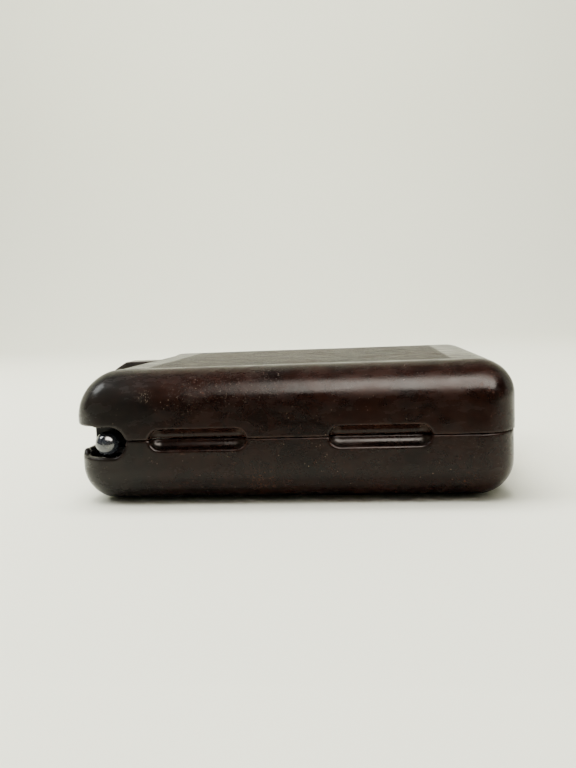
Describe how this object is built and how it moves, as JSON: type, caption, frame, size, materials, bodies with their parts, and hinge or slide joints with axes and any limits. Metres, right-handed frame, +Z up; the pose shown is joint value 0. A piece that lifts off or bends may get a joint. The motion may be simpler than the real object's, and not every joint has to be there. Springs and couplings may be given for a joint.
{
  "type": "card dealing shoe",
  "caption": "Rounded two-part moulded card box with hinged ribbed lid, finger grooves and a knob-turned roller that deals cards from a sprung plate.",
  "frame": {"origin": "middle of the footprint, on the surface it stands on", "axes": "+X along the length towards the hinge, -X is the mouth; +Y across; +Z up"},
  "size_m": [0.1426, 0.106, 0.0415],
  "materials": {
    "bakelite": "worn glossy dark red-brown phenolic moulding",
    "bakelite_dark": "darker phenolic moulding",
    "knob": "polished blue-black",
    "steel": "turned, lightly tarnished",
    "spring_steel": "drawn wire",
    "brass": "aged, dull",
    "rubber": "matt",
    "plate": "satin sheet",
    "felt": "green baize"
  },
  "bodies": {
    "tray": {"tray_shell": "bakelite", "divider": "bakelite_dark", "bearing_block_near": "bakelite_dark", "bearing_block_far": "bakelite_dark", "bearing_bushes": "brass", "bearing_screws": "steel", "lift_springs": "spring_steel", "rear_felt": "felt", "locating_pegs": "steel", "hinge_leaf_tray": "brass", "hinge_pin": "steel", "hinge_rivets_tray": "brass"},
    "lid": {"lid_shell": "bakelite", "thumb_lift": "bakelite_dark", "thumb_lift_pins": "steel", "hinge_leaf_lid": "brass", "hinge_rivets_lid": "brass"},
    "roller": {"roller_shaft": "steel", "roller_sleeves": "rubber", "shaft_collars": "brass", "knob_near": "knob", "knob_far": "knob"},
    "plate": {"lift_plate": "plate", "plate_felt": "felt"}
  },
  "joints": [
    {"name": "lid_hinge", "type": "hinge", "parent": "tray", "child": "lid", "pos_m": [0.0693, 0, 0.0205], "axis": [0, 1, 0], "range_deg": [0, 105]},
    {"name": "roller_spin", "type": "hinge", "parent": "tray", "child": "roller", "pos_m": [-0.0567, 0, 0.0193], "axis": [0, 1, 0], "continuous": true},
    {"name": "plate_lift", "type": "slide", "parent": "tray", "child": "plate", "axis": [0, 0, 1], "range_m": [-0.0105, 0], "stiffness_N_per_m": 90, "springref_m": 0.012, "deforming": ["lift_springs"]}
  ]
}
